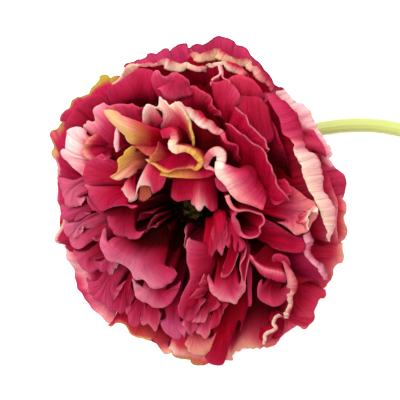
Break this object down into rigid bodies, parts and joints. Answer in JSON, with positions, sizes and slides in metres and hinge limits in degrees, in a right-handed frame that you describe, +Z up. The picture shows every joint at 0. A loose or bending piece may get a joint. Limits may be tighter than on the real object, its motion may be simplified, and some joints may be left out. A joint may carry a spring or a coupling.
{
  "type": "double poppy flower",
  "caption": "Double poppy bloom with layered, ruffled petals round a dark eye, picked with a bent green stem and lying on a table.",
  "frame": {"origin": "on the table, under the middle of the box that the flower fills", "axes": "+Z up from the table; the bloom is towards -X and the cut end of the stem towards +X"},
  "size_m": [0.2237, 0.1213, 0.0798],
  "materials": {
    "petal": "matt, thin crimson petal with pale edges",
    "capsule": "matt olive seed capsule",
    "stamen": "matt near-black",
    "stem": "satin light yellow-green, smooth"
  },
  "bodies": {
    "root": {"petals": "petal", "capsule": "capsule", "stamens": "stamen", "stem": "stem"}
  },
  "joints": []
}
